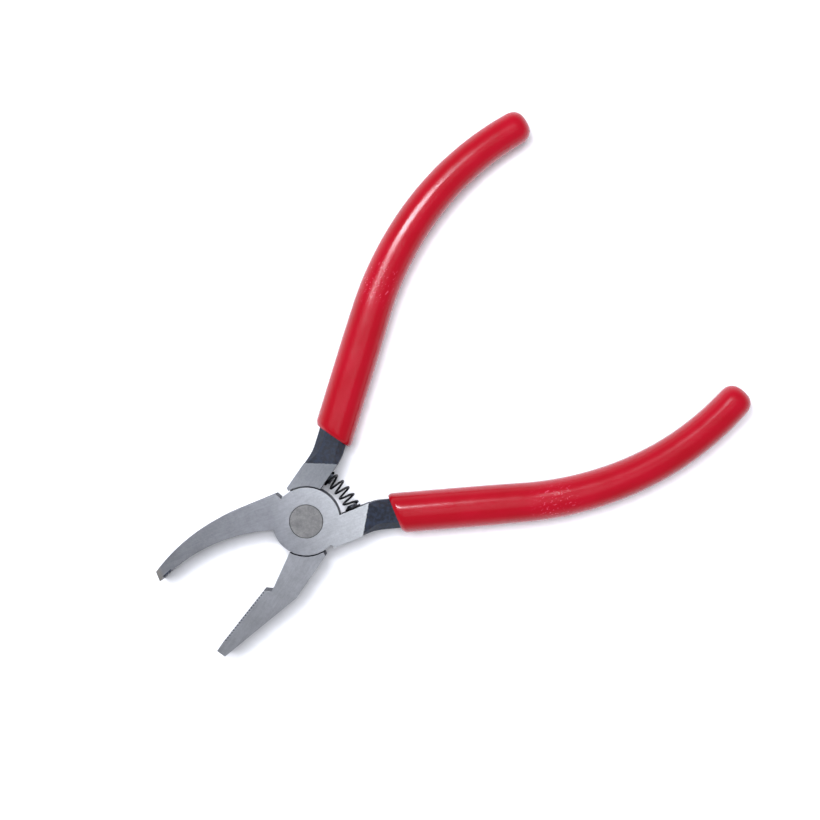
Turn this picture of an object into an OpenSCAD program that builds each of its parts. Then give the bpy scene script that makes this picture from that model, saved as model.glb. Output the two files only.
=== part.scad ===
// Grozing pliers for stained glass work: a flat toothed jaw, a bowed jaw, a lap joint on a flush
// rivet, a coil return spring between the shanks and dipped grips on the handles.
//
// The row frame: Z is the rivet's axis, z = 0 is the underside of the hub, and +X runs along the
// bisector of the two handles. Both halves are drawn in one closed frame, with the handle on the
// +Y side and the jaw on the -Y side, and are then turned into their open place.

/* [Opening] */
// Angle that each half is turned away from its closed place
half_opening = 16.5; // [12:0.5:18]

/* [Hub] */
// Radius of the round lap at the pivot
hub_r = 8.9; // [8.6:0.1:9.2]
// Thickness of the head, which is two laps
head_t = 10; // [9:0.5:11]
// Gap between the faces of the two laps
lap_gap = 0.04; // [0.02:0.01:0.08]
// Gap between a lap's rim and the recess that it turns in
rim_gap = 0.35; // [0.2:0.05:0.4]
// Closed-frame angle from the pivot to the shoulder behind each jaw
jaw_shoulder_angle = 116; // [114:0.5:118]
// Closed-frame angle from the pivot to the shoulder in front of each shank
shank_shoulder_angle = 65; // [63:0.5:67]

/* [Rivet] */
// Radius of the rivet's shaft
rivet_r = 3.2; // [2.8:0.1:3.5]
// Radius of the rivet's countersunk ends
rivet_head_r = 4.5; // [4.2:0.1:4.8]
// Radial running clearance in the half that turns on the rivet
rivet_clearance = 0.05; // [0.03:0.01:0.08]
// Broken edge round each end of the rivet
rivet_edge = 0.12; // [0.05:0.01:0.2]

/* [Bowed jaw] */
// Reach of the bowed jaw from the pivot
bowed_reach = 41.4; // [40:0.2:43]
// Depth of the bowed jaw's back below the closing line
bowed_back = 9.8; // [9.6:0.05:10.2]
// Distance from the pivot over which that back stays straight
bowed_straight = 16; // [12:0.5:18]
// Radius of the back where it curves down to the tip
bowed_back_r = 49.6; // [48:0.2:52]
// Radius of the hollow inner face
bow_r = 44.8; // [44:0.2:46]
// Distance from the pivot to the middle of the hollow
bow_x = 23.6; // [23:0.2:24.4]
// Number of filed teeth at the tip of the hollow face
tip_teeth = 4; // [3:1:5]
// Distance along the hollow face from its middle to the first of them
tip_teeth_from = 14.2; // [13:0.1:15]

/* [Flat jaw] */
// Reach of the flat jaw from the pivot
flat_reach = 41.2; // [40:0.2:43]
// Depth of the flat jaw's back below the closing line
flat_back = 9.3; // [9:0.1:9.8]
// Thickness of the flat jaw at its tip
flat_tip = 2.6; // [2.2:0.1:3.2]
// Distance from the pivot to the lip of the step behind the teeth
step_x = 21.3; // [20:0.1:22]
// Number of filed teeth on the flat face
flat_teeth = 20; // [16:1:24]

/* [Teeth] */
// Depth of the filed teeth
tooth_depth = 0.28; // [0.15:0.01:0.4]

/* [Shank and tang] */
// Distance of each shank's inner face from the closing line
face_y = 1.8; // [1.5:0.05:2]
// Distance of each shank's outer edge from the closing line
shank_y = 9.2; // [9:0.05:9.5]
// Depth by which the forged neck stands back from the ground head
grind_step = 0.1; // [0.05:0.01:0.2]
// Where the ground face ends, along the shank's outer edge
ground_out_x = 12.2; // [11.5:0.1:12.5]
// Where the ground face ends, along the shank's inner face
ground_in_x = 17; // [16.5:0.1:17.3]
// Depth by which the neck thins from the ground face to the grip's mouth
neck_drop = 0.65; // [0.4:0.05:0.9]
// Half width of the tang at its end
tang_end_w = 2.6; // [2:0.1:3]

/* [Grips] */
// Distance from the pivot to the mouths of the grips
mouth_x = 22.3; // [22:0.1:23]
// Slope of the straight part of each handle
handle_slope = 17.6; // [17:0.1:18]
// Distance along X where the handle starts to bend back
bend_x = 55; // [54:0.5:56]
// Distance of the handle's crest from the closing line
crest_y = 21.65; // [21:0.05:22.5]
// Radius of the handle before its crest
bend_r = 90; // [88:1:92]
// Radius of the handle after its crest
tail_r = 79; // [78:1:84]
// Length of the handle after its crest, up to the rounded end
tail_len = 34.6; // [33:0.2:36]
// Half width of a grip near its mouth
grip_w = 5.4; // [5.2:0.05:5.5]
// Half width of a grip at its rounded end
grip_end_w = 4.5; // [4.2:0.05:4.7]
// Squareness of the rounded end, where 2 is a half circle
end_power = 2.6; // [2:0.1:3]

/* [Spring] */
// Wire radius
wire_r = 0.3; // [0.25:0.01:0.35]
// Radius from the coil's axis to the wire's centre
coil_r = 1.85; // [1.7:0.01:2]
// Turns, with half a turn lying flat on each shank
coil_turns = 6; // [5:1:7]
// Distance along the closed shank to the coil's axis
peg_x = 12.45; // [12:0.05:13]
// Radius of the pegs that hold the coil's ends
peg_r = 1.45; // [1.2:0.05:1.5]
// Height of a peg above its shank
peg_out = 1.2; // [1:0.05:1.5]
// Depth of a peg in its shank
peg_in = 2.8; // [2:0.1:3.5]

/* [Hidden] */
$fn = 96;
arc_fn = 240;

mid_z = head_t / 2;
recess_r = hub_r + rim_gap;
rivet_cone = rivet_head_r - rivet_r;

// The step and the toothed face of the flat jaw
step_lip = [-step_x, -1.1];
step_root = [-step_x + 1, -2.95];
step_floor = [-step_x + 2.6, -2.75];
tooth_end = [-37.9, -0.06];
flat_bend_x = 17.9;

// The bow's centre is placed so that the hollow face reaches the closing line at the tip
bow_c = [-bow_x, sqrt(pow(bow_r, 2) - pow(bowed_reach - bow_x, 2)) - 0.02];

// The coil bends about the point where the two shank faces would meet
apex = face_y / sin(half_opening);
coil_bend_r = peg_x + apex * cos(half_opening);
coil_end_angle = half_opening - asin((wire_r + 0.02) / coil_bend_r);
neck_steps = 8;
spring_steps = 20;
spring_sides = 8;

// Arc lengths along a handle from its mouth
straight_len = (bend_x - mouth_x) / cos(handle_slope);
bend_len = bend_r * handle_slope * PI / 180;
handle_len = straight_len + bend_len + tail_len;
crest_x = bend_x + bend_r * sin(handle_slope);

steel = [0.66, 0.68, 0.72];
rivet_steel = [0.57, 0.57, 0.6];
red_vinyl = [0.8, 0.08, 0.15];
black_wire = [0.1, 0.1, 0.11];

function lerp(a, b, t) = a + (b - a) * t;
function smooth(t) = t <= 0 ? 0 : t >= 1 ? 1 : t * t * (3 - 2 * t);
function degrees(len, r) = len / r * 180 / PI;

// Slope of a handle's centre line at a distance s from the mouth
function slope_at(s) =
    s < straight_len ? handle_slope
    : s < straight_len + bend_len ? handle_slope - degrees(s - straight_len, bend_r)
    : -degrees(s - straight_len - bend_len, tail_r);

// Point of a handle's centre line at a distance s from the mouth
function centre_at(s) =
    let (a = slope_at(s))
    s < straight_len + bend_len
        ? [crest_x - bend_r * sin(handle_slope), crest_y - bend_r * (1 - cos(handle_slope))]
          + (s < straight_len
                ? (s - straight_len) * [cos(handle_slope), sin(handle_slope)]
                : bend_r * [sin(handle_slope) - sin(a), cos(a) - cos(handle_slope)])
        : [crest_x - tail_r * sin(a), crest_y - tail_r * (1 - cos(a))];

// Unit vector across a handle, square to its centre line
function across_at(s) = let (a = slope_at(s)) [-sin(a), cos(a)];

// Eight-sided ring between an inner and an outer rail, with chamfered corners
function steel_ring(outer, inner, half_t, chamfer) =
    let (u = (outer - inner) / norm(outer - inner))
    [for (k = [[outer, -1, 0], [outer, 1, 0], [outer, 1, 1], [inner, 1, -1],
               [inner, 1, 0], [inner, -1, 0], [inner, -1, -1], [outer, -1, 1]])
        let (xy = k[0] - k[2] * chamfer * u)
        [xy[0], xy[1], mid_z + k[1] * (half_t - (k[2] == 0 ? chamfer : 0))]];

// One edge of the neck: along the shank, round a bend of radius r, then along the handle
function rail_y(x, y0, turn_x, r) =
    let (turn_len = r * sin(handle_slope))
    x < turn_x ? y0
    : x < turn_x + turn_len ? y0 + r - sqrt(pow(r, 2) - pow(x - turn_x, 2))
    : y0 + r * (1 - cos(handle_slope)) + (x - turn_x - turn_len) * tan(handle_slope);

// Rings of the forged neck, from just inside the ground head to the grip's mouth
function neck_rings() =
    [for (i = [-1 : neck_steps])
        let (t = i / neck_steps,
             out_x = lerp(ground_out_x, mouth_x, t),
             in_x = lerp(ground_in_x, mouth_x, t))
        steel_ring([out_x, rail_y(out_x, shank_y - grind_step, 14, 12)],
                   [in_x, rail_y(in_x, face_y + grind_step, 17.6, 8)],
                   mid_z - grind_step - neck_drop * smooth(t),
                   lerp(0.7, 1.8, smooth(2 * t)))];

// Rings of the tang that the grip hides
function tang_rings() =
    [for (i = [1 : 14])
        let (t = i / 14,
             s = lerp(0, handle_len - 4, t),
             w = lerp(3.9, tang_end_w, t),
             c = centre_at(s),
             n = w * across_at(s))
        steel_ring(c + n, c - n, lerp(3.6, tang_end_w, t), lerp(1.5, 0.8, t))];

// Half width and half height of a grip at a distance s past the mouth
function grip_half(s) =
    let (w = s < 25 ? grip_w : lerp(grip_w, grip_end_w, (s - 25) / (handle_len - 25)),
         lip = 0.9 + 0.1 * sin(90 * min(1, s / 1.2)),
         past = max(0, s - handle_len) / grip_end_w,
         cap = pow(max(0, 1 - pow(past, end_power)), 1 / end_power))
    [w * lip * cap, min(mid_z, w) * lip * cap];

// Ring of a grip: square to the handle, except near the mouth, which is square to X
function grip_ring(s, sides) =
    let (on_line = min(s, handle_len),
         a = slope_at(on_line),
         past = s - on_line,
         c = centre_at(on_line) + past * [cos(a), sin(a)],
         lean = a * smooth(s / 12),
         half = grip_half(s))
    [for (k = [0 : sides - 1])
        let (d = half[0] * cos(360 * k / sides) / cos(a - lean))
        [c[0] - d * sin(lean), c[1] + d * cos(lean),
         mid_z + half[1] * sin(360 * k / sides)]];

function grip_rings(sides) =
    let (caps = [0.4, 0.65, 0.82, 0.92, 0.97, 0.992])
    [for (s = concat([0, 0.5, 1.2], [for (i = [1 : 24]) lerp(1.2, handle_len, i / 24)],
                     [for (c = caps) handle_len + grip_end_w * c]))
        grip_ring(s, sides)];

// Centre of the coil and ring round the wire after u turns
function wire_ring(u) =
    let (t = min(1, max(0, (u - 0.5) / (coil_turns - 1))),
         phi = lerp(-coil_end_angle, coil_end_angle, t),
         out = [cos(phi), sin(phi), 0],
         axis = [-sin(phi), cos(phi), 0],
         radial = cos(360 * u) * out + sin(360 * u) * [0, 0, 1])
    [for (k = [0 : spring_sides - 1])
        [-apex, 0, mid_z] + coil_bend_r * out + coil_r * radial
        + wire_r * (cos(360 * k / spring_sides) * radial + sin(360 * k / spring_sides) * axis)];

// Closed solid through a list of rings with the same number of points
module skin(rings) {
    n = len(rings[0]);
    last = len(rings) - 1;
    polyhedron(
        points = [for (r = rings) each r],
        faces = concat(
            [[for (k = [0 : n - 1]) k]],
            [[for (k = [n - 1 : -1 : 0]) last * n + k]],
            [for (i = [0 : last - 1], k = [0 : n - 1])
                [i * n + k, (i + 1) * n + k, (i + 1) * n + (k + 1) % n, i * n + (k + 1) % n]]),
        convexity = 6);
}

module in_front_half() {
    rotate([0, 0, -half_opening]) mirror([0, 1, 0]) children();
}

module in_back_half() {
    rotate([0, 0, half_opening]) children();
}

// Side of a ray from the pivot that lies towards the other shoulder
module shoulder_cut(angle) {
    rotate(angle) square([30, 30]);
}

module bowed_jaw_outline() {
    difference() {
        union() {
            translate([-bowed_straight, -bowed_back]) square([bowed_straight, bowed_back]);
            intersection() {
                translate([-bowed_straight, bowed_back_r - bowed_back])
                    circle(r = bowed_back_r, $fn = arc_fn);
                translate([-bowed_reach, -bowed_back])
                    square([bowed_reach - bowed_straight + 0.01, bowed_back]);
            }
        }
        translate(bow_c) circle(r = bow_r, $fn = arc_fn);
        shoulder_cut(-jaw_shoulder_angle);
        for (i = [0 : tip_teeth - 1])
            translate(bow_c) rotate(-90 - degrees(tip_teeth_from + 0.85 * i, bow_r))
                translate([bow_r, 0]) circle(r = tooth_depth, $fn = 4);
    }
}

module flat_jaw_outline() {
    pitch = (tooth_end - step_lip) / flat_teeth;
    inward = tooth_depth * [pitch[1], -pitch[0]] / norm(pitch);
    difference() {
        polygon(concat(
            [[0, 0], [0, -flat_back], [-flat_bend_x, -flat_back], [-flat_reach, -flat_tip],
             [-flat_reach, -0.04]],
            [for (i = [flat_teeth : -1 : 1])
                each [step_lip + i * pitch, step_lip + (i - 0.5) * pitch - inward]],
            [step_lip, step_root, step_floor, [-hub_r, -1]]));
        shoulder_cut(-jaw_shoulder_angle);
    }
}

module shank_outline() {
    difference() {
        polygon([[0, face_y], [0, shank_y], [ground_out_x, shank_y], [ground_in_x, face_y]]);
        shoulder_cut(shank_shoulder_angle);
    }
}

// A whole half in its closed frame. Its lap lies between lap_low and lap_high, and the rest of
// its head is full height outside the recess for the other lap.
module steel_half(lap_low, lap_high) {
    other_low = lap_low > 0 ? -1 : lap_high;
    difference() {
        union() {
            difference() {
                linear_extrude(head_t) {
                    children();
                    shank_outline();
                }
                translate([0, 0, other_low])
                    cylinder(r = recess_r, h = lap_low > 0 ? lap_low + 1 : head_t);
            }
            translate([0, 0, lap_low]) cylinder(r = hub_r, h = lap_high - lap_low);
            skin(concat(neck_rings(), tang_rings()));
        }
        translate([peg_x, face_y - 1, mid_z]) rotate([-90, 0, 0]) cylinder(r = peg_r, h = peg_in + 1);
    }
}

// Shaft with a countersink at each end. past is how far the ends run on beyond the head's faces.
module countersunk_shaft(extra, past) {
    translate([0, 0, -past]) cylinder(r = rivet_r + extra, h = head_t + 2 * past);
    for (end = [0, 1])
        translate([0, 0, end * head_t]) mirror([0, 0, end]) {
            cylinder(r1 = rivet_head_r + extra, r2 = rivet_r + extra, h = rivet_cone);
            if (past > 0)
                translate([0, 0, -past]) cylinder(r = rivet_head_r + extra, h = past);
        }
}

module peg() {
    translate([peg_x, face_y, mid_z]) rotate([-90, 0, 0]) {
        translate([0, 0, -peg_out + 0.3]) cylinder(r = peg_r, h = peg_in + peg_out - 0.3);
        translate([0, 0, -peg_out]) cylinder(r1 = peg_r - 0.3, r2 = peg_r, h = 0.3);
    }
}

module grip() {
    difference() {
        skin(grip_rings(20));
        skin(concat(neck_rings(), tang_rings()));
    }
}

module front_half() {
    color(steel) difference() {
        in_front_half() steel_half(mid_z + lap_gap / 2, head_t) bowed_jaw_outline();
        countersunk_shaft(0, 1);
    }
}

module back_half() {
    color(steel) difference() {
        in_back_half() steel_half(0, mid_z - lap_gap / 2) flat_jaw_outline();
        countersunk_shaft(rivet_clearance, 1);
    }
}

module pivot_rivet() {
    inner_r = rivet_head_r - rivet_edge;
    color(rivet_steel) intersection() {
        countersunk_shaft(0, 0);
        union() {
            translate([0, 0, rivet_edge])
                cylinder(r = rivet_head_r + 1, h = head_t - 2 * rivet_edge);
            cylinder(r1 = inner_r, r2 = rivet_head_r, h = rivet_edge);
            translate([0, 0, head_t - rivet_edge])
                cylinder(r1 = rivet_head_r, r2 = inner_r, h = rivet_edge);
        }
    }
}

module return_spring() {
    color(black_wire)
        skin([for (i = [0 : coil_turns * spring_steps]) wire_ring(i / spring_steps)]);
}

module front_spring_peg() {
    color(steel) in_front_half() peg();
}

module back_spring_peg() {
    color(steel) in_back_half() peg();
}

module front_grip() {
    color(red_vinyl) in_front_half() grip();
}

module back_grip() {
    color(red_vinyl) in_back_half() grip();
}

front_half();
back_half();
pivot_rivet();
return_spring();
front_spring_peg();
back_spring_peg();
front_grip();
back_grip();
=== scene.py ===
"""Looks for a pair of grozing pliers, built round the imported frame.

Lengths are in millimetres in every class and turn into metres where a mesh or a light is made.
The closed frame has each half's handle on +Y and its jaw on -Y, and Half turns it to its open place.
"""

import logging
import math
from dataclasses import dataclass, field
from enum import Enum
from typing import Any, Iterable, Optional, Sequence

import bmesh
import bpy
from mathutils import Matrix, Vector

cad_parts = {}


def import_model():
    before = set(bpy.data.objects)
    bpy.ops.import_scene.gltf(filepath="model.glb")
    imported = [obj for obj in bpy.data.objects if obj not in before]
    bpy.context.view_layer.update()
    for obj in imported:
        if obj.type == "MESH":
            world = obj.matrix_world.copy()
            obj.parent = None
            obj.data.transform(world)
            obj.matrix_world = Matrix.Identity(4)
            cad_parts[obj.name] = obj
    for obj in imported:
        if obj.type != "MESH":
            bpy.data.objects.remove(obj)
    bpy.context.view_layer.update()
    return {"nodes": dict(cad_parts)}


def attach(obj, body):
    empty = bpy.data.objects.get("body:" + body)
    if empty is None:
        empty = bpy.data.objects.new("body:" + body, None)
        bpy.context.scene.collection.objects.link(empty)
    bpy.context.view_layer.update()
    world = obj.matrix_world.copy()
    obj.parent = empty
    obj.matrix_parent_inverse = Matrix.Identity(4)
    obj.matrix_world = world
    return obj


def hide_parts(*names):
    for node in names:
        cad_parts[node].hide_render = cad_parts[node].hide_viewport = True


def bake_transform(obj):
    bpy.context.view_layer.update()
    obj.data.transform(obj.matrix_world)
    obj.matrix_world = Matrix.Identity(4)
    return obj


MM = 0.001
HEAD_THICKNESS = 10.0
MIDDLE_Z = HEAD_THICKNESS / 2
HALF_OPENING = math.radians(16.5)
# The values that nearly all of a noise pattern lies between.
NOISE_RANGE = (0.32, 0.68)
# Corners this close are one corner, faces this flat are one face, and edges sharper than this are broken.
SAME_POINT = 0.004
FLAT_ANGLE = math.radians(0.4)
SHARP_ANGLE = math.radians(28)
SENSOR_WIDTH = 36.0

log = logging.getLogger("grozing_pliers")


class Half(Enum):
    """The two crossing halves of the pliers."""

    FRONT = "front"
    BACK = "back"

    @property
    def body(self) -> str:
        """Name of the body that this half is."""
        return f"{self.value}_body"

    @property
    def side(self) -> int:
        """1 where the handle lies on +Y, and -1 where it lies on -Y."""
        return 1 if self is Half.BACK else -1

    def place(self, x: float, y: float, z: float) -> Vector:
        """Turns a closed-frame point to its open place.

        Args:
            x: Distance along the closed pliers, with the handle on +X.
            y: Distance from the closing line, with the handle on +Y.
            z: Height above the hub's underside.

        Returns:
            The point in the row frame, in metres.
        """
        turn = self.side * HALF_OPENING
        across = self.side * y
        return MM * Vector((x * math.cos(turn) - across * math.sin(turn),
                            x * math.sin(turn) + across * math.cos(turn), z))


class Clouding(Enum):
    """Sizes of cloudy pattern that the finishes share, as the width of one patch in millimetres.

    The real grit of a grinding wheel is near 0.05 mm, which would not show, so GRAIN stands in for it.
    """

    BROAD = 7.0
    PATCH = 2.6
    FLECK = 0.8
    GRAIN = 0.45


def smooth(t: float) -> float:
    """Eases t from 0 to 1 with no slope at either end."""
    t = min(1.0, max(0.0, t))
    return t * t * (3 - 2 * t)


def mix(a: float, b: float, t: float) -> float:
    """Value a share t of the way from a to b."""
    return a + (b - a) * t


def linear(colour: str) -> tuple[float, float, float, float]:
    """Turns an sRGB hex colour to linear.

    Args:
        colour: Colour such as "#C8102E".

    Returns:
        Linear red, green and blue, with an alpha of 1.
    """
    channels = [int(colour[i:i + 2], 16) / 255 for i in (1, 3, 5)]
    r, g, b = [c / 12.92 if c <= 0.04045 else ((c + 0.055) / 1.055) ** 2.4 for c in channels]
    return r, g, b, 1.0


def add_node(tree: bpy.types.NodeTree, kind: str, settings: Optional[dict[str, Any]] = None,
             inputs: Optional[dict[Any, Any]] = None) -> bpy.types.Node:
    """Adds a node to a tree with its settings, values and links.

    Args:
        tree: Tree that gets the node.
        kind: Type of node without its "ShaderNode" prefix.
        settings: Properties of the node by name.
        inputs: A value or another node's output for each input, by the input's name or number.

    Returns:
        The new node.
    """
    node = tree.nodes.new("ShaderNode" + kind)
    for name, value in (settings or {}).items():
        setattr(node, name, value)
    for key, value in (inputs or {}).items():
        if isinstance(value, bpy.types.NodeSocket):
            tree.links.new(value, node.inputs[key])
        else:
            node.inputs[key].default_value = value
    return node


def new_material(name: str) -> tuple[bpy.types.Material, bpy.types.NodeTree, bpy.types.Node]:
    """Makes a material with one shader in it.

    Args:
        name: Name of the material.

    Returns:
        The material, its node tree and its principled shader.
    """
    material = bpy.data.materials.new(name)
    material.use_nodes = True
    tree = material.node_tree
    tree.nodes.clear()
    shader = add_node(tree, "BsdfPrincipled")
    add_node(tree, "OutputMaterial", inputs={"Surface": shader.outputs[0]})
    return material, tree, shader


def dress(piece: bpy.types.Object, material: bpy.types.Material) -> None:
    """Gives a piece one material in place of any that it has."""
    piece.data.materials.clear()
    piece.data.materials.append(material)


def place_in_mm(tree: bpy.types.NodeTree, half: Optional[Half] = None) -> bpy.types.NodeSocket:
    """Adds coordinates in millimetres that stay with the piece.

    Args:
        tree: Tree that gets the nodes.
        half: Half whose closed frame the coordinates follow, or None for the row frame.

    Returns:
        The coordinates.
    """
    where = add_node(tree, "TexCoord").outputs["Object"]
    side = half.side if half else 1
    turn = -HALF_OPENING if half else 0.0
    scale = Vector((1, side, 1)) / MM
    return add_node(tree, "Mapping", {"vector_type": "POINT"},
                    {"Vector": where, "Scale": scale, "Rotation": (0, 0, turn)}).outputs[0]


def clouds(tree: bpy.types.NodeTree, where: bpy.types.NodeSocket, width: float,
           low: float, high: float, stretch: Sequence[float] = (1, 1, 1)) -> bpy.types.NodeSocket:
    """Adds a cloudy pattern of a real size.

    Args:
        tree: Tree that gets the nodes.
        where: Coordinates in millimetres.
        width: Width of one patch in millimetres.
        low: Value in the pattern's hollows.
        high: Value on its peaks.
        stretch: How much longer a patch is along each axis.

    Returns:
        The pattern's value.
    """
    scale = [1 / (width * s) for s in stretch]
    sized = add_node(tree, "Mapping", inputs={"Vector": where, "Scale": scale})
    noise = add_node(tree, "TexNoise", {"noise_dimensions": "3D"},
                     {"Vector": sized.outputs[0], "Scale": 1.0, "Detail": 4.0, "Roughness": 0.55})
    return add_node(tree, "MapRange", {"interpolation_type": "SMOOTHSTEP"},
                    {"Value": noise.outputs[0], "From Min": NOISE_RANGE[0], "From Max": NOISE_RANGE[1],
                     "To Min": low, "To Max": high}).outputs[0]


@dataclass(frozen=True)
class GapShadeAndDirt:
    """Painted shade, with some dirt, in the gaps between filed teeth, which draws a dark, stitched line
    along the toothed face.

    Attributes:
        first: Place of the first tooth in the half's closed frame, in millimetres.
        last: Place of the last tooth.
        teeth: Number of teeth between them.
        reach: How far the painted shade, with some dirt, spreads in from the tips of the teeth. The real
            gaps are half as deep, and a line as thin as that would not show.
        evenness: Share of the painted shade that does not follow the single teeth.
        core: Share of the reach in which the painted shade is thick.
        end_fade: Distance over which the painted shade fades out past the end teeth.
        gap_edge: Cosine of the place in one pitch where a gap starts to fill.
    """

    first: tuple[float, float, float]
    last: tuple[float, float, float]
    teeth: int
    reach: float
    evenness: float
    core: float = 0.6
    end_fade: float = 0.3
    gap_edge: float = 0.4

    def mask(self, tree: bpy.types.NodeTree, where: bpy.types.NodeSocket) -> bpy.types.NodeSocket:
        """Adds the share of painted shade and dirt between the teeth.

        Args:
            tree: Tree that gets the nodes.
            where: Coordinates in millimetres.

        Returns:
            1 where the painted shade is thick and 0 where there is none.
        """
        line = Vector(self.last) - Vector(self.first)
        pitch = line.length / self.teeth
        along = line.normalized()
        inward = Vector((-along.y, along.x, 0.0))
        place = add_node(tree, "VectorMath", {"operation": "SUBTRACT"}, {0: where, 1: self.first}).outputs[0]
        run, depth = (add_node(tree, "VectorMath", {"operation": "DOT_PRODUCT"},
                               {0: place, 1: way}).outputs["Value"] for way in (along, inward))
        turn = add_node(tree, "Math", {"operation": "MULTIPLY"}, {0: run, 1: math.tau / pitch}).outputs[0]
        wave = add_node(tree, "Math", {"operation": "COSINE"}, {0: turn}).outputs[0]
        share = add_node(tree, "MapRange", {"clamp": True},
                         {"Value": wave, "From Min": self.gap_edge, "From Max": -self.gap_edge,
                          "To Min": self.evenness}).outputs[0]
        ranges = ((depth, self.reach, self.reach * self.core), (run, -self.end_fade, 0.0),
                  (run, line.length + self.end_fade, line.length))
        for value, none, full in ranges:
            inside = add_node(tree, "MapRange", {"clamp": True},
                              {"Value": value, "From Min": none, "From Max": full}).outputs[0]
            share = add_node(tree, "Math", {"operation": "MULTIPLY"}, {0: share, 1: inside}).outputs[0]
        return share


@dataclass(frozen=True)
class GroundSteel:
    """Forged tool steel with ground faces.

    The flat faces are ground on a fine wheel and left satin, so they are pale, bluish and cloudy, and their
    colour is painted lighter or darker along the half as a painted reflection of the lamps.
    The forged neck and the walls keep their black oxide, so they are blue-black and dull. The wheel's
    real marks are finer than a tenth of a millimetre and are drawn as coarse as they need to show.

    Attributes:
        sheen_tones: Colours of the ground faces at the three sheen_places. They hold painted reflection: the
            ground faces turn lighter or darker along the half, where the lamps' reflection falls brighter or
            dimmer.
        gap_shade_and_dirt: Painted shade, with some dirt, between the half's filed teeth.
        rubbed: Share of bare, warm metal at the very tip of the jaw.
        oxide: Colour of the thick black oxide.
        oxide_worn: Its colour where handling has thinned it.
        tip: Colour of the rubbed tip.
        ground_normal: Direction square to the line where the grinding ends.
        ground_end: Distance of that line from the pivot, in millimetres.
        ragged: How far the line wanders to either side.
        line_blur: Half the width over which the steel turns black there.
        wall_slant: Z of the normal where a wall starts to be black, and where it is all black.
        sheen_places: X of each of the sheen_tones in the half's closed frame.
        cloudiness: How much the tone varies.
        patches: Sizes of the clouds, each with its share of the cloudiness.
        wheel_marks: Width, length over width, and share of the cloudiness.
        jaw_tip: X where the rubbed tip starts.
        rub_len: Distance from there to the most rubbed place.
        roughness: Roughness of the ground faces, least and most.
        oxide_roughness: The same for the oxide.
        wear: Share of thinned oxide, least and most. It is held between 0 and 1.
        relief: Depth of the wheel marks and of the forging's pits.
        mark_width: Width of one wheel mark in the relief.
        pit_width: Width of one pit.
    """

    sheen_tones: tuple[str, str, str]
    gap_shade_and_dirt: GapShadeAndDirt
    rubbed: float
    oxide: str = "#090E19"
    oxide_worn: str = "#1F2736"
    tip: str = "#A39E96"
    ground_normal: tuple[float, float, float] = (0.839, 0.544, 0.0)
    ground_end: float = 15.24
    ragged: float = 0.06
    line_blur: float = 0.1
    wall_slant: tuple[float, float] = (0.4, 0.15)
    sheen_places: tuple[float, float, float] = (-40.0, -8.0, 15.0)
    cloudiness: float = 0.34
    patches: tuple[tuple[Clouding, float], ...] = (
        (Clouding.BROAD, 0.15), (Clouding.PATCH, 0.15), (Clouding.FLECK, 0.25), (Clouding.GRAIN, 0.2))
    wheel_marks: tuple[float, float, float] = (0.35, 9.0, 0.25)
    jaw_tip: float = -39.6
    rub_len: float = 1.0
    roughness: tuple[float, float] = (0.39, 0.46)
    oxide_roughness: tuple[float, float] = (0.5, 0.66)
    wear: tuple[float, float] = (-0.2, 1.1)
    relief: float = 0.02
    mark_width: float = 0.3
    pit_width: float = 0.6

    def make(self, half: Half) -> bpy.types.Material:
        """Makes the finish of one half.

        Args:
            half: Half that is dressed.

        Returns:
            The material.
        """
        material, tree, shader = new_material(f"ground_tool_steel_{half.value}")
        where = place_in_mm(tree, half)
        black = self._blackened(tree, where)
        ground = self._ground_tone_and_sheen(tree, where)
        worn = clouds(tree, where, Clouding.FLECK.value, *self.wear)
        oxide = add_node(tree, "Mix", {"data_type": "RGBA"},
                         {0: worn, 6: linear(self.oxide), 7: linear(self.oxide_worn)}).outputs[2]
        colour = add_node(tree, "Mix", {"data_type": "RGBA"}, {0: black, 6: ground, 7: oxide})
        rough_ground = clouds(tree, where, Clouding.PATCH.value, *self.roughness)
        rough_oxide = clouds(tree, where, Clouding.FLECK.value, *self.oxide_roughness)
        rough = add_node(tree, "Mix", {"data_type": "FLOAT"},
                         {0: black, 2: rough_ground, 3: rough_oxide}).outputs[0]
        metal = add_node(tree, "MapRange", inputs={"Value": black, "To Min": 1.0, "To Max": 0.0})
        tree.links.new(colour.outputs[2], shader.inputs["Base Color"])
        tree.links.new(rough, shader.inputs["Roughness"])
        tree.links.new(metal.outputs[0], shader.inputs["Metallic"])
        tree.links.new(self._relief(tree, where, black), shader.inputs["Normal"])
        return material

    def _blackened(self, tree: bpy.types.NodeTree, where: bpy.types.NodeSocket) -> bpy.types.NodeSocket:
        """Adds the share of black oxide, and of the painted shade and dirt between the teeth.

        Args:
            tree: Tree that gets the nodes.
            where: Coordinates in the half's closed frame.

        Returns:
            1 past the grinding line, on the walls and in the painted shade between the teeth, and 0 on the
            ground faces.
        """
        along = add_node(tree, "VectorMath", {"operation": "DOT_PRODUCT"},
                         {0: where, 1: self.ground_normal}).outputs["Value"]
        wander = clouds(tree, where, Clouding.FLECK.value, -self.ragged, self.ragged)
        edge = add_node(tree, "Math", {"operation": "ADD"}, {0: along, 1: wander}).outputs[0]
        neck = add_node(tree, "MapRange", {"clamp": True},
                        {"Value": edge, "From Min": self.ground_end - self.line_blur,
                         "From Max": self.ground_end + self.line_blur}).outputs[0]
        normal = add_node(tree, "TexCoord").outputs["Normal"]
        up = add_node(tree, "SeparateXYZ", inputs={0: normal}).outputs["Z"]
        flat = add_node(tree, "Math", {"operation": "ABSOLUTE"}, {0: up}).outputs[0]
        wall = add_node(tree, "MapRange", {"clamp": True},
                        {"Value": flat, "From Min": self.wall_slant[0],
                         "From Max": self.wall_slant[1]}).outputs[0]
        oxide = add_node(tree, "Math", {"operation": "MAXIMUM"}, {0: neck, 1: wall}).outputs[0]
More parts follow.
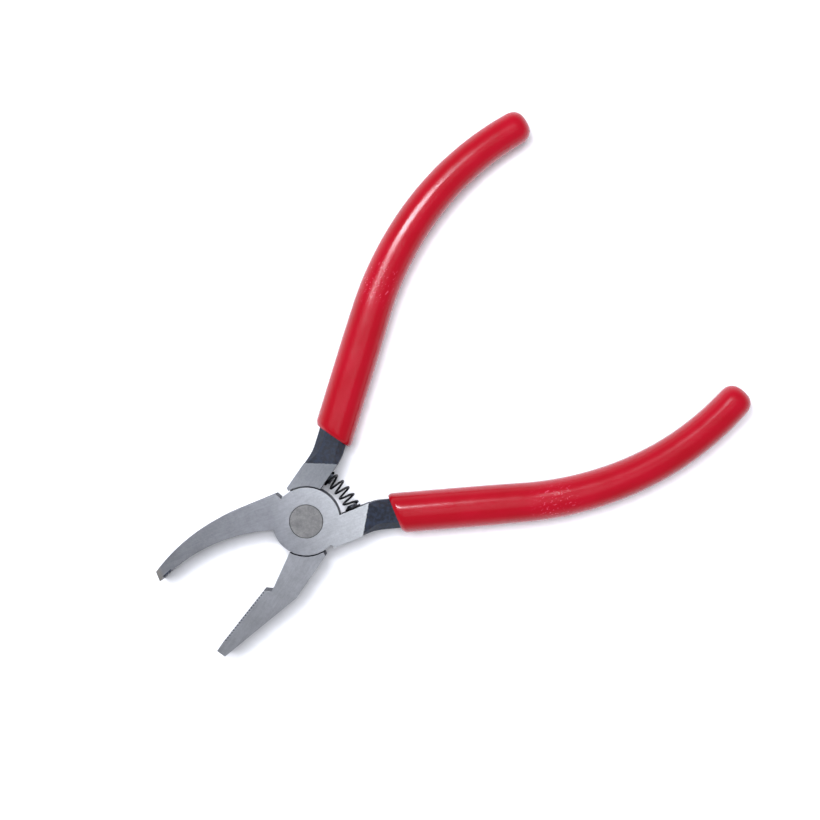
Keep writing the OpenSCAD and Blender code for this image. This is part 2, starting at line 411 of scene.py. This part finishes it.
        # Painted shade, with some dirt, in the gaps between the filed teeth.
        dirt = self.gap_shade_and_dirt.mask(tree, where)
        return add_node(tree, "Math", {"operation": "MAXIMUM"}, {0: oxide, 1: dirt}).outputs[0]

    def _ground_tone_and_sheen(self, tree: bpy.types.NodeTree, where: bpy.types.NodeSocket) -> bpy.types.NodeSocket:
        """Adds the colour of the ground faces: cloudy, with wheel marks, a rubbed tip, and a painted
        reflection that makes them lighter or darker along the half.

        Args:
            tree: Tree that gets the nodes.
            where: Coordinates in the half's closed frame.

        Returns:
            The colour.
        """
        along = add_node(tree, "SeparateXYZ", inputs={0: where}).outputs["X"]
        first, _, last = self.sheen_places
        share = add_node(tree, "MapRange", {"clamp": True},
                         {"Value": along, "From Min": first, "From Max": last}).outputs[0]
        # Painted reflection: this ramp makes the ground faces lighter or darker along the half, where the
        # lamps' reflection falls brighter or dimmer.
        ramp = add_node(tree, "ValToRGB", inputs={0: share})
        ramp.color_ramp.elements.new(0.5)
        for stop, place, tone in zip(ramp.color_ramp.elements, self.sheen_places, self.sheen_tones):
            stop.position = (place - first) / (last - first)
            stop.color = linear(tone)
        layers = [clouds(tree, where, size.value, 0.0, self.cloudiness * part)
                  for size, part in self.patches]
        width, stretch, part = self.wheel_marks
        layers.append(clouds(tree, where, width, 0.0, self.cloudiness * part, stretch=(stretch, 1, 1)))
        total: Any = 1 - self.cloudiness / 2
        for layer in layers:
            total = add_node(tree, "Math", {"operation": "ADD"}, {0: layer, 1: total}).outputs[0]
        ground = add_node(tree, "VectorMath", {"operation": "SCALE"},
                          {0: ramp.outputs[0], "Scale": total}).outputs[0]
        rubbed = add_node(tree, "MapRange", {"clamp": True},
                          {"Value": along, "From Min": self.jaw_tip, "From Max": self.jaw_tip - self.rub_len,
                           "To Min": 0.0, "To Max": self.rubbed}).outputs[0]
        return add_node(tree, "Mix", {"data_type": "RGBA"},
                        {0: rubbed, 6: ground, 7: linear(self.tip)}).outputs[2]

    def _relief(self, tree: bpy.types.NodeTree, where: bpy.types.NodeSocket,
                black: bpy.types.NodeSocket) -> bpy.types.NodeSocket:
        """Adds wheel marks on the ground faces and the forging's faint pits under the oxide.

        Args:
            tree: Tree that gets the nodes.
            where: Coordinates in the half's closed frame.
            black: Share of black oxide.

        Returns:
            The surface normal.
        """
        marks = clouds(tree, where, self.mark_width, 0.0, 1.0, stretch=(14, 1, 1))
        pits = clouds(tree, where, self.pit_width, 0.0, 1.0)
        height = add_node(tree, "Mix", {"data_type": "FLOAT"}, {0: black, 2: marks, 3: pits}).outputs[0]
        return add_node(tree, "Bump", inputs={"Strength": 0.25, "Distance": self.relief * MM,
                                              "Height": height}).outputs[0]


@dataclass(frozen=True)
class RivetSteel:
    """Mild steel rivet ground flush with the head.

    It is softer than the head, so the wheel leaves it duller, warmer and more mottled, and a dark
    ring of dirt sits in its broken edge.
    """

    dark: str = "#828282"
    pale: str = "#AAA9A7"
    dirt: str = "#2B2B2E"
    dirt_ring: tuple[float, float] = (4.22, 4.42)
    roughness: tuple[float, float] = (0.42, 0.56)
    relief: float = 0.02
    mark_width: float = 0.3

    def make(self) -> bpy.types.Material:
        """Makes the finish.

        Returns:
            The material.
        """
        material, tree, shader = new_material("flush_ground_rivet_steel")
        where = place_in_mm(tree)
        total: Any = 0.0
        for size, share in ((Clouding.PATCH, 0.55), (Clouding.FLECK, 0.25), (Clouding.GRAIN, 0.2)):
            cloud = clouds(tree, where, size.value, 0.0, share)
            total = add_node(tree, "Math", {"operation": "ADD"}, {0: cloud, 1: total}).outputs[0]
        steel = add_node(tree, "Mix", {"data_type": "RGBA"},
                         {0: total, 6: linear(self.dark), 7: linear(self.pale)}).outputs[2]
        flat = add_node(tree, "VectorMath", {"operation": "MULTIPLY"}, {0: where, 1: (1, 1, 0)})
        radius = add_node(tree, "VectorMath", {"operation": "LENGTH"}, {0: flat.outputs[0]})
        ring = add_node(tree, "MapRange", {"clamp": True},
                        {"Value": radius.outputs["Value"], "From Min": self.dirt_ring[0],
                         "From Max": self.dirt_ring[1]}).outputs[0]
        colour = add_node(tree, "Mix", {"data_type": "RGBA"},
                          {0: ring, 6: steel, 7: linear(self.dirt)}).outputs[2]
        tree.links.new(colour, shader.inputs["Base Color"])
        rough = clouds(tree, where, Clouding.PATCH.value, *self.roughness)
        tree.links.new(rough, shader.inputs["Roughness"])
        bump = add_node(tree, "Bump", inputs={"Strength": 0.25, "Distance": self.relief * MM,
                                              "Height": clouds(tree, where, self.mark_width, 0.0, 1.0)})
        tree.links.new(bump.outputs[0], shader.inputs["Normal"])
        shader.inputs["Metallic"].default_value = 1.0
        return material


@dataclass(frozen=True)
class BlackWire:
    """Oil-blackened spring wire: nearly black and semi-gloss, a little cloudy where the oil dried."""

    dark: str = "#060607"
    pale: str = "#121316"
    roughness: tuple[float, float] = (0.38, 0.52)

    def make(self) -> bpy.types.Material:
        """Makes the finish.

        Returns:
            The material.
        """
        material, tree, shader = new_material("oil_blackened_spring_wire")
        where = place_in_mm(tree)
        tone = clouds(tree, where, Clouding.FLECK.value, 0.0, 1.0)
        colour = add_node(tree, "Mix", {"data_type": "RGBA"},
                          {0: tone, 6: linear(self.dark), 7: linear(self.pale)}).outputs[2]
        tree.links.new(colour, shader.inputs["Base Color"])
        rough = clouds(tree, where, Clouding.GRAIN.value, *self.roughness)
        tree.links.new(rough, shader.inputs["Roughness"])
        return material


@dataclass(frozen=True)
class PegSteel:
    """Turned peg steel: darker than the ground head, with fine rings from the lathe.

    The real rings are near 0.05 mm apart and are drawn at 0.25 mm, so that they show.
    """

    dark: str = "#55585F"
    pale: str = "#7C8088"
    ring_pitch: float = 0.25
    roughness: tuple[float, float] = (0.35, 0.5)

    def make(self) -> bpy.types.Material:
        """Makes the finish.

        Returns:
            The material.
        """
        material, tree, shader = new_material("turned_peg_steel")
        where = place_in_mm(tree)
        rings = clouds(tree, where, self.ring_pitch, 0.0, 1.0, stretch=(10, 1, 10))
        colour = add_node(tree, "Mix", {"data_type": "RGBA"},
                          {0: rings, 6: linear(self.dark), 7: linear(self.pale)}).outputs[2]
        tree.links.new(colour, shader.inputs["Base Color"])
        rough = clouds(tree, where, Clouding.FLECK.value, *self.roughness)
        tree.links.new(rough, shader.inputs["Roughness"])
        shader.inputs["Metallic"].default_value = 1.0
        return material


@dataclass(frozen=True)
class DippedVinyl:
    """Plastisol that the handles were dipped in and then cured.

    It is a deep, glossy crimson with a soft skin: wide highlights, pale edges, a faint waviness from the
    dip, small wrinkles where the handle bends, and pale scuff marks at the crest of the bend, which are
    partly painted glints where the highlight runs. Only the peaks of scuff_range are above 0, so there are
    few of them.
    """

    deep: str = "#930013"
    bright: str = "#9C011B"
    # Pale pink of the scuff marks, which are partly painted glints.
    scuff: str = "#E0607A"
    roughness: tuple[float, float] = (0.16, 0.22)
    refraction: float = 1.45
    bend: tuple[float, float, float] = (62.0, 20.5, 9.0)
    bend_reach: float = 8.0
    bend_core: float = 2.0
    tone_patch: float = 9.0
    gloss_patch: float = 5.0
    scuff_width: float = 0.5
    scuff_range: tuple[float, float] = (-4.6, 0.5)
    wave_width: float = 4.5
    wave_height: float = 0.04
    crease_width: float = 0.7
    crease_height: float = 0.06

    def make(self, half: Half) -> bpy.types.Material:
        """Makes the finish of one grip.

        Args:
            half: Half whose grip is dressed.

        Returns:
            The material.
        """
        material, tree, shader = new_material(f"dipped_crimson_vinyl_{half.value}")
        where = place_in_mm(tree, half)
        tone = clouds(tree, where, self.tone_patch, 0.0, 1.0, stretch=(2, 1, 1))
        colour = add_node(tree, "Mix", {"data_type": "RGBA"},
                          {0: tone, 6: linear(self.deep), 7: linear(self.bright)}).outputs[2]
        near = self._near_bend(tree, where)
        # Pale flecks at the crest of the bend, where the highlight runs: partly scuffs, partly painted
        # glints.
        flecks = clouds(tree, where, self.scuff_width, *self.scuff_range, stretch=(2, 1, 1))
        scuffs = add_node(tree, "Math", {"operation": "MULTIPLY", "use_clamp": True},
                          {0: flecks, 1: near}).outputs[0]
        colour = add_node(tree, "Mix", {"data_type": "RGBA"},
                          {0: scuffs, 6: colour, 7: linear(self.scuff)}).outputs[2]
        tree.links.new(colour, shader.inputs["Base Color"])
        tree.links.new(clouds(tree, where, self.gloss_patch, *self.roughness), shader.inputs["Roughness"])
        tree.links.new(self._skin(tree, where, near), shader.inputs["Normal"])
        shader.inputs["IOR"].default_value = self.refraction
        return material

    def _near_bend(self, tree: bpy.types.NodeTree, where: bpy.types.NodeSocket) -> bpy.types.NodeSocket:
        """Adds the share of wear and painted glints round the bend of the handle.

        Args:
            tree: Tree that gets the nodes.
            where: Coordinates in the half's closed frame.

        Returns:
            1 at the bend, falling to 0 round it.
        """
        away = add_node(tree, "VectorMath", {"operation": "DISTANCE"}, {0: where, 1: self.bend})
        return add_node(tree, "MapRange", {"interpolation_type": "SMOOTHSTEP"},
                        {"Value": away.outputs["Value"], "From Min": self.bend_reach,
                         "From Max": self.bend_core,
                         "To Min": 0.0, "To Max": 1.0}).outputs[0]

    def _skin(self, tree: bpy.types.NodeTree, where: bpy.types.NodeSocket,
              near: bpy.types.NodeSocket) -> bpy.types.NodeSocket:
        """Adds the waviness of the dip, with wrinkles near the bend.

        Args:
            tree: Tree that gets the nodes.
            where: Coordinates in the half's closed frame.
            near: Share of wear round the bend.

        Returns:
            The surface normal.
        """
        waves = clouds(tree, where, self.wave_width, 0.0, 1.0, stretch=(1.6, 1, 1))
        skin = add_node(tree, "Bump", inputs={"Strength": 0.3, "Distance": self.wave_height * MM,
                                              "Height": waves})
        creases = clouds(tree, where, self.crease_width, 0.0, 1.0, stretch=(0.6, 1.6, 1))
        wrinkles = add_node(tree, "Math", {"operation": "MULTIPLY"}, {0: creases, 1: near}).outputs[0]
        return add_node(tree, "Bump", inputs={"Strength": 0.4, "Distance": self.crease_height * MM,
                                              "Height": wrinkles, "Normal": skin.outputs[0]}).outputs[0]


@dataclass(frozen=True)
class PaperSweep:
    """Matt white studio paper: a pale, even ground with a barely visible cloudiness.

    Paper's real fibres are finer than 0.05 mm, and the clouds are drawn at 3 mm, so that they show.
    """

    shade: str = "#F4F4F4"
    light: str = "#F8F8F8"
    patch: float = 3.0
    roughness: float = 0.9

    def make(self) -> bpy.types.Material:
        """Makes the finish.

        Returns:
            The material.
        """
        material, tree, shader = new_material("matt_white_paper")
        tone = clouds(tree, place_in_mm(tree), self.patch, 0.0, 1.0)
        colour = add_node(tree, "Mix", {"data_type": "RGBA"},
                          {0: tone, 6: linear(self.shade), 7: linear(self.light)}).outputs[2]
        tree.links.new(colour, shader.inputs["Base Color"])
        shader.inputs["Roughness"].default_value = self.roughness
        return material


def loft(name: str, rings: Sequence[Sequence[Vector]]) -> bpy.types.Object:
    """Makes a closed, smooth skin through rings, with a fan over each end.

    Args:
        name: Name of the object.
        rings: Rings with the same number of points, in metres.

    Returns:
        The object, already in the scene.
    """
    bm = bmesh.new()
    loops = [[bm.verts.new(p) for p in ring] for ring in rings]
    count = len(loops[0])
    for low, high in zip(loops, loops[1:]):
        for k in range(count):
            after = (k + 1) % count
            bm.faces.new((low[k], low[after], high[after], high[k]))
    for loop, ring in ((loops[0], rings[0]), (loops[-1], rings[-1])):
        pole = bm.verts.new(sum(ring, Vector()) / count)
        for k in range(count):
            bm.faces.new((loop[k], loop[(k + 1) % count], pole))
    bmesh.ops.recalc_face_normals(bm, faces=bm.faces)
    for face in bm.faces:
        face.smooth = True
    mesh = bpy.data.meshes.new(name)
    bm.to_mesh(mesh)
    bm.free()
    piece = bpy.data.objects.new(name, mesh)
    bpy.context.scene.collection.objects.link(piece)
    return piece


def soften_edges(node: bpy.types.Object, width: float, segments: int = 3) -> None:
    """Rounds a machined node's sharp edges and evens its shading, with modifiers only.

    Args:
        node: Object of the node.
        width: Width of the rounding in millimetres.
        segments: Number of faces across the rounding.
    """
    weld = node.modifiers.new("joined_corners", "WELD")
    weld.merge_threshold = SAME_POINT * MM
    flats = node.modifiers.new("whole_faces", "DECIMATE")
    flats.decimate_type = "DISSOLVE"
    flats.angle_limit = FLAT_ANGLE
    bevel = node.modifiers.new("broken_edges", "BEVEL")
    bevel.width = width * MM
    bevel.segments = segments
    bevel.limit_method = "ANGLE"
    bevel.angle_limit = SHARP_ANGLE
    bevel.harden_normals = False
    even = node.modifiers.new("even_shading", "WEIGHTED_NORMAL")
    even.keep_sharp = True


@dataclass
class HandleLine:
    """Centre line of a handle: straight, then round its crest, then back towards the other one.

    Attributes:
        mouth_x: X of the grip's mouth in the half's closed frame.
        slope: Slope of the straight part, in radians.
        bend_x: X where the straight part ends.
        crest_y: Y of the crest.
        bend_r: Radius from the straight part to the crest.
        tail_r: Radius past the crest.
        tail_len: Length of the line past the crest.
    """

    mouth_x: float = 22.3
    slope: float = math.radians(17.6)
    bend_x: float = 55.0
    crest_y: float = 21.65
    bend_r: float = 90.0
    tail_r: float = 79.0
    tail_len: float = 34.6

    @property
    def straight_len(self) -> float:
        """Length of the straight part."""
        return (self.bend_x - self.mouth_x) / math.cos(self.slope)

    @property
    def length(self) -> float:
        """Length from the grip's mouth to its rounded end."""
        return self.straight_len + self.bend_r * self.slope + self.tail_len

    def slope_at(self, s: float) -> float:
        """Slope of the line.

        Args:
            s: Distance along the line from the mouth.

        Returns:
            The slope in radians, which is negative past the crest.
        """
        past_straight = s - self.straight_len
        past_crest = past_straight - self.bend_r * self.slope
        if past_straight < 0:
            return self.slope
        if past_crest < 0:
            return self.slope - past_straight / self.bend_r
        return -past_crest / self.tail_r

    def point_at(self, s: float) -> tuple[float, float]:
        """Point of the line at a distance s from the mouth.

        Args:
            s: Distance along the line. Past the rounded end it runs straight on.

        Returns:
            X and Y in the closed frame.
        """
        on_line = min(s, self.length)
        past = s - on_line
        a = self.slope_at(on_line)
        crest_x = self.bend_x + self.bend_r * math.sin(self.slope)
        if on_line < self.straight_len:
            back = self.straight_len - on_line
            x = self.bend_x - back * math.cos(self.slope)
            y = self.crest_y - self.bend_r * (1 - math.cos(self.slope)) - back * math.sin(self.slope)
        else:
            r = self.bend_r if a > 0 else self.tail_r
            x = crest_x - r * math.sin(a)
            y = self.crest_y - r * (1 - math.cos(a))
        return x + past * math.cos(a), y + past * math.sin(a)


@dataclass
class SteelHalf:
    """One forged half: jaw, lap, shank and tang."""

    half: Half
    finish: GroundSteel
    edge: float = 0.14

    def build(self, nodes: dict[str, bpy.types.Object]) -> None:
        """Dresses the half's machined node.

        Args:
            nodes: Machined nodes by name.
        """
        node = nodes[f"{self.half.value}_half"]
        soften_edges(node, self.edge)
        dress(node, self.finish.make(self.half))
        log.info("%s: ground head with %.2f mm edges", node.name, self.edge)


@dataclass
class FlushRivet:
    """The rivet that the halves turn on, ground flush with both faces."""

    finish: RivetSteel = field(default_factory=RivetSteel)
    edge: float = 0.05

    def build(self, nodes: dict[str, bpy.types.Object]) -> None:
        """Dresses the rivet's machined node.

        Args:
            nodes: Machined nodes by name.
        """
        node = nodes["pivot_rivet"]
        soften_edges(node, self.edge, 2)
        dress(node, self.finish.make())
        log.info("%s: flush rivet", node.name)


@dataclass
class ReturnSpring:
    """Coil spring between the shanks, with the pegs that hold its ends.

    The coil bends round the point where the two shank faces would meet. Half a turn lies flat on each shank,
    and the turns between bend evenly from one to the other.

    Attributes:
        wire_r: Radius of the wire.
        coil_r: Radius of the coil to the middle of the wire.
        turns: Number of turns, with the two flat halves.
        flat_turn: Part of a turn that lies on each shank.
        shank_gap: Room left between the wire and the shank's face.
        peg_x: X of the pegs in each half's closed frame.
        peg_edge: Width of the pegs' rounded edges.
        face_y: Y of the shank's face in each half's closed frame.
        turn_steps: Rings of the mesh in one turn.
        wire_sides: Points in each ring.
        wire: Finish of the wire.
        peg: Finish of the pegs.
    """

    wire_r: float = 0.3
    coil_r: float = 1.85
    turns: int = 6
    flat_turn: float = 0.5
    shank_gap: float = 0.02
    peg_x: float = 12.45
    peg_edge: float = 0.06
    face_y: float = 1.8
    turn_steps: int = 40
    wire_sides: int = 12
    wire: BlackWire = field(default_factory=BlackWire)
    peg: PegSteel = field(default_factory=PegSteel)

    def build(self, nodes: dict[str, bpy.types.Object]) -> None:
        """Makes the coil and dresses the pegs.

        Args:
            nodes: Machined nodes by name.
        """
        steps = [i / self.turn_steps for i in range(self.turns * self.turn_steps + 1)]
        coil = loft("wire_coil", [self._ring(u) for u in steps])
        dress(coil, self.wire.make())
        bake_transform(coil)
        self._share_turns(steps)
        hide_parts("return_spring")
        steel = self.peg.make()
        for half in Half:
            node = nodes[f"{half.value}_spring_peg"]
            soften_edges(node, self.peg_edge, 2)
            dress(node, steel)
        log.info("%s: %d turns, and two pegs", coil.name, self.turns)

    @property
    def _apex(self) -> float:
        """Distance from the pivot to the point that the coil bends round."""
        return self.face_y / math.sin(HALF_OPENING)

    @property
    def _bend_r(self) -> float:
        """Radius of the coil's axis round that point."""
        return self.peg_x + self._apex * math.cos(HALF_OPENING)

    @property
    def _end_angle(self) -> float:
        """Angle from the bisector to the wire that lies on a shank."""
        return HALF_OPENING - math.asin((self.wire_r + self.shank_gap) / self._bend_r)

    def _share(self, u: float) -> float:
        """Share of the way from one shank to the other after u turns."""
        return min(1.0, max(0.0, (u - self.flat_turn) / (self.turns - 2 * self.flat_turn)))

    def _axis_point(self, angle: float) -> Vector:
        """Point of the coil's axis at an angle from the bisector."""
        x = -self._apex + self._bend_r * math.cos(angle)
        return Vector((x, self._bend_r * math.sin(angle), MIDDLE_Z))

    def _ring(self, u: float) -> list[Vector]:
        """Ring round the wire.

        Args:
            u: Turns from the front shank.

        Returns:
            The ring's points in the row frame, in metres.
        """
        angle = mix(-self._end_angle, self._end_angle, self._share(u))
        out = Vector((math.cos(angle), math.sin(angle), 0))
        axis = Vector((-math.sin(angle), math.cos(angle), 0))
        turn = math.tau * u
        radial = math.cos(turn) * out + math.sin(turn) * Vector((0, 0, 1))
        centre = self._axis_point(angle) + self.coil_r * radial
        ring = []
        for k in range(self.wire_sides):
            a = math.tau * k / self.wire_sides
            ring.append(MM * (centre + self.wire_r * (math.cos(a) * radial + math.sin(a) * axis)))
        return ring

    def _share_turns(self, steps: Sequence[float]) -> None:
        """Works out every ring of wire's share of the movement. Nothing uses the shares, so the wire does
        not move with the shanks.

        Args:
            steps: Turns at each ring.
        """
        shares = [self._share(u) for u in steps for _ in range(self.wire_sides)]
        shares += [self._share(steps[0]), self._share(steps[-1])]


@dataclass
class DippedGrip:
    """Hollow vinyl grip on one handle, with a rolled lip at its mouth and a blunt, round end.

    Attributes:
        half: Half that the grip is on.
        line: Centre line of the handle.
        finish: Finish of the vinyl.
        width: Half width of the grip up to taper_start.
        end_width: Half width where the round end starts, and the length of that end.
        taper_start: Distance past the mouth where the grip starts to narrow.
        end_power: 2 for a plain round end, and more for a blunter one.
        end_turns: Degrees of each ring of the round end, which crowd towards its tip.
        end_crowding: Power that spaces those rings out again near the start of the end.
        lip: Width at the very mouth as a share of the full width.
        lip_len: Length of the rolled lip.
        lip_steps: Distance of each ring of the lip.
        lean_len: Distance over which the rings turn from square to X to square to the handle.
        squareness: 2 for an oval section, and more for a squarer one.
        cavity_w: Half width of the cavity at its mouth and at its end.
        cavity_t: The same across its thickness.
        cavity_squareness: Squareness of the cavity's section.
        cavity_short: Distance from the end of the cavity to the end of the line.
        cavity_steps: Number of steps along the cavity.
        sides: Points in each ring.
        steps: Number of steps along the skin.
    """

    half: Half
    line: HandleLine = field(default_factory=HandleLine)
    finish: DippedVinyl = field(default_factory=DippedVinyl)
    width: float = 5.4
    end_width: float = 4.5
    taper_start: float = 25.0
    end_power: float = 2.6
    end_turns: range = range(6, 89, 4)
    end_crowding: float = 0.8
    lip: float = 0.9
    lip_len: float = 1.2
    lip_steps: tuple[float, ...] = (0.0, 0.12, 0.3, 0.55, 0.85)
    lean_len: float = 12.0
    squareness: float = 2.25
    cavity_w: tuple[float, float] = (3.9, 2.65)
    cavity_t: tuple[float, float] = (4.15, 2.65)
    cavity_squareness: float = 4.0
    cavity_short: float = 4.0
    cavity_steps: int = 24
    sides: int = 56
    steps: int = 96

    def build(self) -> None:
        """Makes the grip and puts it on its handle."""
        rings = self._cavity_rings() + self._skin_rings()
        grip = loft(f"{self.half.value}_vinyl_grip", rings)
        dress(grip, self.finish.make(self.half))
        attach(grip, self.half.body)
        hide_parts(f"{self.half.value}_grip")
        log.info("%s: %.0f mm of dipped vinyl", grip.name, self.line.length + self.end_width)

    def _half_width(self, s: float) -> float:
        """Half width of the skin at a distance s past the mouth."""
        t = max(0.0, (s - self.taper_start) / (self.line.length - self.taper_start))
        return mix(self.width, self.end_width, min(1.0, t))

    def _ring(self, s: float, half_w: float, half_t: float, power: float) -> list[Vector]:
        """Ring square to the handle, except near the mouth, where it is square to X.

        Args:
            s: Distance along the handle from the mouth.
            half_w: Half width across the handle.
            half_t: Half thickness along Z.
            power: 2 for an ellipse, and more for a squarer section.

        Returns:
            The ring's points in the row frame, in metres.
        """
        x, y = self.line.point_at(s)
        a = self.line.slope_at(min(s, self.line.length))
        lean = a * smooth(s / self.lean_len)
        ring = []
        for k in range(self.sides):
            turn = math.tau * k / self.sides
            c, d = math.cos(turn), math.sin(turn)
            reach = (abs(c) ** power + abs(d) ** power) ** (-1 / power)
            across = half_w * reach * c / math.cos(a - lean)
            ring.append(self.half.place(x - across * math.sin(lean), y + across * math.cos(lean),
                                        MIDDLE_Z + half_t * reach * d))
        return ring

    def _skin_rings(self) -> list[list[Vector]]:
        """Rings of the outer skin.

        Returns:
            The rings from the lip to the rounded end, in metres.
        """
        body = [mix(self.lip_len, self.line.length, i / self.steps) for i in range(self.steps + 1)]
        end = [self.line.length + self.end_width * math.sin(math.radians(a)) ** self.end_crowding
               for a in self.end_turns]
        rings = []
        for s in (*self.lip_steps, *body, *end):
            cap = max(0.0, s - self.line.length) / self.end_width
            scale = mix(self.lip, 1.0, math.sin(math.pi / 2 * min(1.0, s / self.lip_len)))
            scale *= max(0.0, 1 - cap ** self.end_power) ** (1 / self.end_power)
            w = self._half_width(s)
            rings.append(self._ring(s, w * scale, min(MIDDLE_Z, w) * scale, self.squareness))
        return rings

    def _cavity_rings(self) -> list[list[Vector]]:
        """Rings of the wall round the tang.

        Returns:
            The rings from the cavity's end to its mouth, in metres.
        """
        depth = self.line.length - self.cavity_short
        rings = []
        for i in range(self.cavity_steps, -1, -1):
            t = i / self.cavity_steps
            rings.append(self._ring(depth * t, mix(*self.cavity_w, t), mix(*self.cavity_t, smooth(3 * t)),
                                    self.cavity_squareness))
        return rings


@dataclass
class Softbox:
    """A rectangular studio light, placed as the camera sees the bench.

    Attributes:
        name: Name of the light.
        right: Distance to the right of the middle of the bench.
        up: Distance towards the top of the camera's frame.
        height: Height above the bench.
        width: Size along the direction in along.
        depth: Size square to it.
        watts: Power.
        along: Direction of the width, as right and up.
        colour: Colour of the light.
        seen_in_gloss: Whether glossy pieces mirror the light.
    """

    name: str
    right: float
    up: float
    height: float
    width: float
    depth: float
    watts: float
    along: tuple[float, float] = (1.0, 0.0)
    colour: str = "#F3F5FF"
    seen_in_gloss: bool = True


@dataclass
class Studio:
    """Paper sweep, soft lights and the camera straight above the pliers.

    Attributes:
        eye: Place of the camera in the row frame.
        turn: Turn of the camera about its own axis.
        lens: Focal length.
        floor_size: Side of the square of paper.
        sky: Colour of the light from all round.
        sky_strength: Its strength overhead.
        wall_strength: Its strength at the horizon, where the studio's pale walls stand.
        wall_height: Z of the direction in which the walls have faded into the sky.
        paper: Finish of the floor.
        lights: The softboxes. The fill evens out the shadows, and gloss doesn't mirror it.
    """

    eye: tuple[float, float, float] = (39.5, 5.7, 477.0)
    turn: float = math.radians(-38.84)
    lens: float = 78.3
    floor_size: float = 960.0
    sky: str = "#F8FAFF"
    sky_strength: float = 0.3
    wall_strength: float = 1.1
    wall_height: float = 0.6
    paper: PaperSweep = field(default_factory=PaperSweep)
    lights: tuple[Softbox, ...] = (
        Softbox("overhead_softbox", right=-126, up=205, height=550, width=215, depth=70, watts=1.7,
                along=(-0.87, 0.49)),
        Softbox("side_softbox", right=60, up=-90, height=650, width=200, depth=200, watts=0.07),
        Softbox("ceiling_fill", right=-280, up=280, height=1700, width=1700, depth=900, watts=42.0,
                seen_in_gloss=False),
    )

    def build(self) -> None:
        """Makes the floor, the lights and the camera."""
        self._floor()
        for light in self.lights:
            self._softbox(light)
        self._sky()
        self._camera()
        bpy.context.scene.view_settings.view_transform = "Standard"

    def _on_bench(self, right: float, up: float, height: float) -> Vector:
        """Turns a place as the camera sees the bench into a point."""
        c, s = math.cos(self.turn), math.sin(self.turn)
        return MM * Vector((self.eye[0] + right * c - up * s, self.eye[1] + right * s + up * c, height))

    def _floor(self) -> None:
        """A wide sheet of paper under the pliers."""
        bm = bmesh.new()
        bmesh.ops.create_grid(bm, x_segments=8, y_segments=8, size=self.floor_size / 2 * MM)
        mesh = bpy.data.meshes.new("paper_floor")
        bm.to_mesh(mesh)
        bm.free()
        floor = bpy.data.objects.new("paper_floor", mesh)
        bpy.context.scene.collection.objects.link(floor)
        dress(floor, self.paper.make())

    def _softbox(self, box: Softbox) -> None:
        """Makes one light, aimed at the middle of the pliers.

        Args:
            box: The light's place, size and power.
        """
        data = bpy.data.lights.new(box.name, "AREA")
        data.shape = "RECTANGLE"
        data.size = box.width * MM
        data.size_y = box.depth * MM
        data.energy = box.watts
        data.color = linear(box.colour)[:3]
        light = bpy.data.objects.new(box.name, data)
        light.location = self._on_bench(box.right, box.up, box.height)
        light.visible_glossy = box.seen_in_gloss
        back = (light.location - self._on_bench(0, 0, 0)).normalized()
        across = self._on_bench(*box.along, 0) - self._on_bench(0, 0, 0)
        edge = back.cross(across).normalized()
        light.rotation_mode = "QUATERNION"
        light.rotation_quaternion = Matrix((edge.cross(back), edge, back)).transposed().to_quaternion()
        bpy.context.scene.collection.objects.link(light)

    def _sky(self) -> None:
        """Dim, even light from above, and pale studio walls round the horizon."""
        world = bpy.data.worlds.new("white_studio")
        world.use_nodes = True
        tree = world.node_tree
        tree.nodes.clear()
        way = add_node(tree, "TexCoord").outputs["Generated"]
        height = add_node(tree, "SeparateXYZ", inputs={0: way}).outputs["Z"]
        strength = add_node(tree, "MapRange", {"interpolation_type": "SMOOTHSTEP"},
                            {"Value": height, "From Min": 0.0, "From Max": self.wall_height,
                             "To Min": self.wall_strength, "To Max": self.sky_strength}).outputs[0]
        sky = add_node(tree, "Background", inputs={"Color": linear(self.sky), "Strength": strength})
        add_node(tree, "OutputWorld", inputs={"Surface": sky.outputs[0]})
        bpy.context.scene.world = world

    def _camera(self) -> None:
        """Camera straight above, turned about its own axis."""
        data = bpy.data.cameras.new("bench_camera")
        data.lens = self.lens
        data.sensor_width = SENSOR_WIDTH
        camera = bpy.data.objects.new("bench_camera", data)
        camera.location = MM * Vector(self.eye)
        camera.rotation_euler = (0, 0, self.turn)
        bpy.context.scene.collection.objects.link(camera)
        bpy.context.scene.camera = camera


def main() -> None:
    """Builds the studio and the pliers."""
    logging.basicConfig(level=logging.INFO, format="%(name)s: %(message)s")
    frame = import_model()
    nodes = frame["nodes"]
    Studio().build()
    # Painted shade, with some dirt, in the gaps between the teeth of each jaw.
    hollow_face = GapShadeAndDirt((-37.5, -1.5, 0.0), (-39.9, -0.64, 0.0), teeth=3, reach=0.6, evenness=1.0)
    flat_face = GapShadeAndDirt((-21.3, -1.1, 0.0), (-37.9, -0.06, 0.0), teeth=20, reach=0.6, evenness=0.1)
    # The three colours hold painted reflection: the front half brightens towards its neck and the back half
    # darkens there.
    front_steel = GroundSteel(("#8E9094", "#A1A3A8", "#E2E5E7"), hollow_face, rubbed=0.7)
    back_steel = GroundSteel(("#A8AAAE", "#B5B7BB", "#8E9195"), flat_face, rubbed=0.0)
    SteelHalf(Half.FRONT, front_steel).build(nodes)
    SteelHalf(Half.BACK, back_steel).build(nodes)
    FlushRivet().build(nodes)
    ReturnSpring().build(nodes)
    for half in Half:
        DippedGrip(half).build()


if __name__ == "__main__":
    main()
